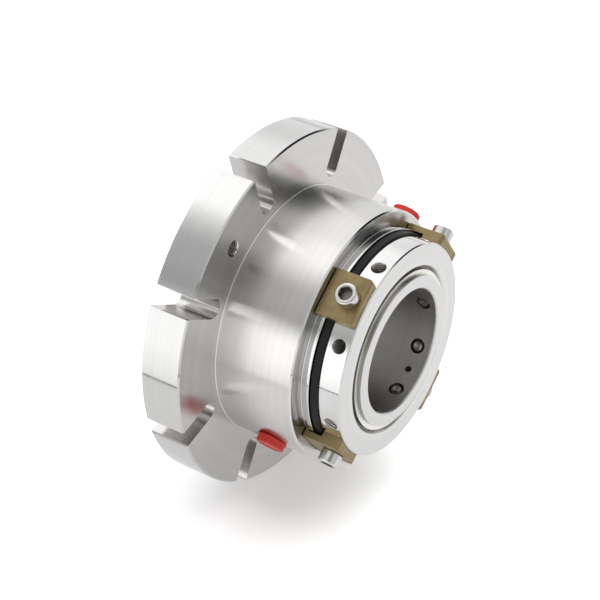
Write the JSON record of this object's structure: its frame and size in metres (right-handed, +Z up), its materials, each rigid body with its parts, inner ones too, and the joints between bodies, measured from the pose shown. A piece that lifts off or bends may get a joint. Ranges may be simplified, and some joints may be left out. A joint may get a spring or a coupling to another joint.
{
  "type": "cartridge mechanical seal",
  "caption": "Double cartridge mechanical seal with a slotted flange, plugged ports, shaft sleeve, drive collar and brass setting clips, for a horizontal pump shaft.",
  "frame": {"origin": "on the shaft axis, in the plane of the gland's mounting face", "axes": "+X along the shaft, away from the pump; +Z up"},
  "size_m": [0.0826, 0.146, 0.146],
  "materials": {
    "turned_steel": "fine turned and polished",
    "polished_steel": "mirror polished",
    "screw_steel": "bright",
    "grub_steel": "dull",
    "pin_steel": "ground",
    "spring_steel": "drawn wire",
    "clip_brass": "brushed",
    "red_plastic": "moulded",
    "black_rubber": "moulded",
    "gasket_fibre": "matt",
    "silicon_carbide": "lapped",
    "carbon": "lapped"
  },
  "bodies": {
    "gland_body": {"gland": "turned_steel", "gland_end_ring": "polished_steel", "gland_gasket": "gasket_fibre", "inboard_seat_o_ring": "black_rubber", "inboard_springs": "spring_steel", "inboard_anti_rotation_pins": "pin_steel", "outboard_seat_o_ring": "black_rubber", "outboard_springs": "spring_steel", "outboard_anti_rotation_pins": "pin_steel"},
    "rotor": {"shaft_sleeve": "turned_steel", "sleeve_o_ring": "black_rubber", "inboard_rotary_face": "silicon_carbide", "inboard_rotary_o_ring": "black_rubber", "inboard_drive_pins": "pin_steel", "pumping_ring": "turned_steel", "pumping_ring_screws": "grub_steel", "outboard_rotary_face": "silicon_carbide", "outboard_rotary_o_ring": "black_rubber", "outboard_drive_pins": "pin_steel", "drive_collar": "polished_steel", "excluder_ring": "black_rubber", "snap_ring": "polished_steel", "grub_screws": "grub_steel"},
    "inboard_face": {"inboard_stationary_face": "carbon"},
    "outboard_face": {"outboard_stationary_face": "carbon"},
    "plug_upper": {"port_plug_upper": "red_plastic"},
    "plug_lower": {"port_plug_lower": "red_plastic"},
    "clip_1": {"setting_clip_1": "clip_brass", "clip_screw_1": "screw_steel"},
    "clip_2": {"setting_clip_2": "clip_brass", "clip_screw_2": "screw_steel"},
    "clip_3": {"setting_clip_3": "clip_brass", "clip_screw_3": "screw_steel"},
    "clip_4": {"setting_clip_4": "clip_brass", "clip_screw_4": "screw_steel"}
  },
  "joints": [
    {"name": "rotor_spin", "type": "hinge", "parent": "gland_body", "child": "rotor", "pos_m": [0, 0, 0], "axis": [1, 0, 0], "continuous": true},
    {"name": "inboard_face_float", "type": "slide", "parent": "gland_body", "child": "inboard_face", "axis": [1, 0, 0], "range_m": [0, 0.0014], "stiffness_N_per_m": 4000, "springref_m": -0.004, "deforming": ["inboard_springs"]},
    {"name": "outboard_face_float", "type": "slide", "parent": "gland_body", "child": "outboard_face", "axis": [1, 0, 0], "range_m": [0, 0.0014], "stiffness_N_per_m": 4000, "springref_m": -0.004, "deforming": ["outboard_springs"]},
    {"name": "clip_1_lift", "type": "slide", "parent": "rotor", "child": "clip_1", "axis": [0, 0.8039, 0.5948], "range_m": [0, 0.014]},
    {"name": "clip_2_lift", "type": "slide", "parent": "rotor", "child": "clip_2", "axis": [0, 0.5948, -0.8039], "range_m": [0, 0.014]},
    {"name": "clip_3_lift", "type": "slide", "parent": "rotor", "child": "clip_3", "axis": [0, -0.8039, -0.5948], "range_m": [0, 0.014]},
    {"name": "clip_4_lift", "type": "slide", "parent": "rotor", "child": "clip_4", "axis": [0, -0.5948, 0.8039], "range_m": [0, 0.014]},
    {"name": "plug_upper_pull", "type": "slide", "parent": "gland_body", "child": "plug_upper", "axis": [0, 0.8049, 0.5934], "range_m": [0, 0.01]},
    {"name": "plug_lower_pull", "type": "slide", "parent": "gland_body", "child": "plug_lower", "axis": [0, -0.8049, -0.5934], "range_m": [0, 0.01]}
  ]
}
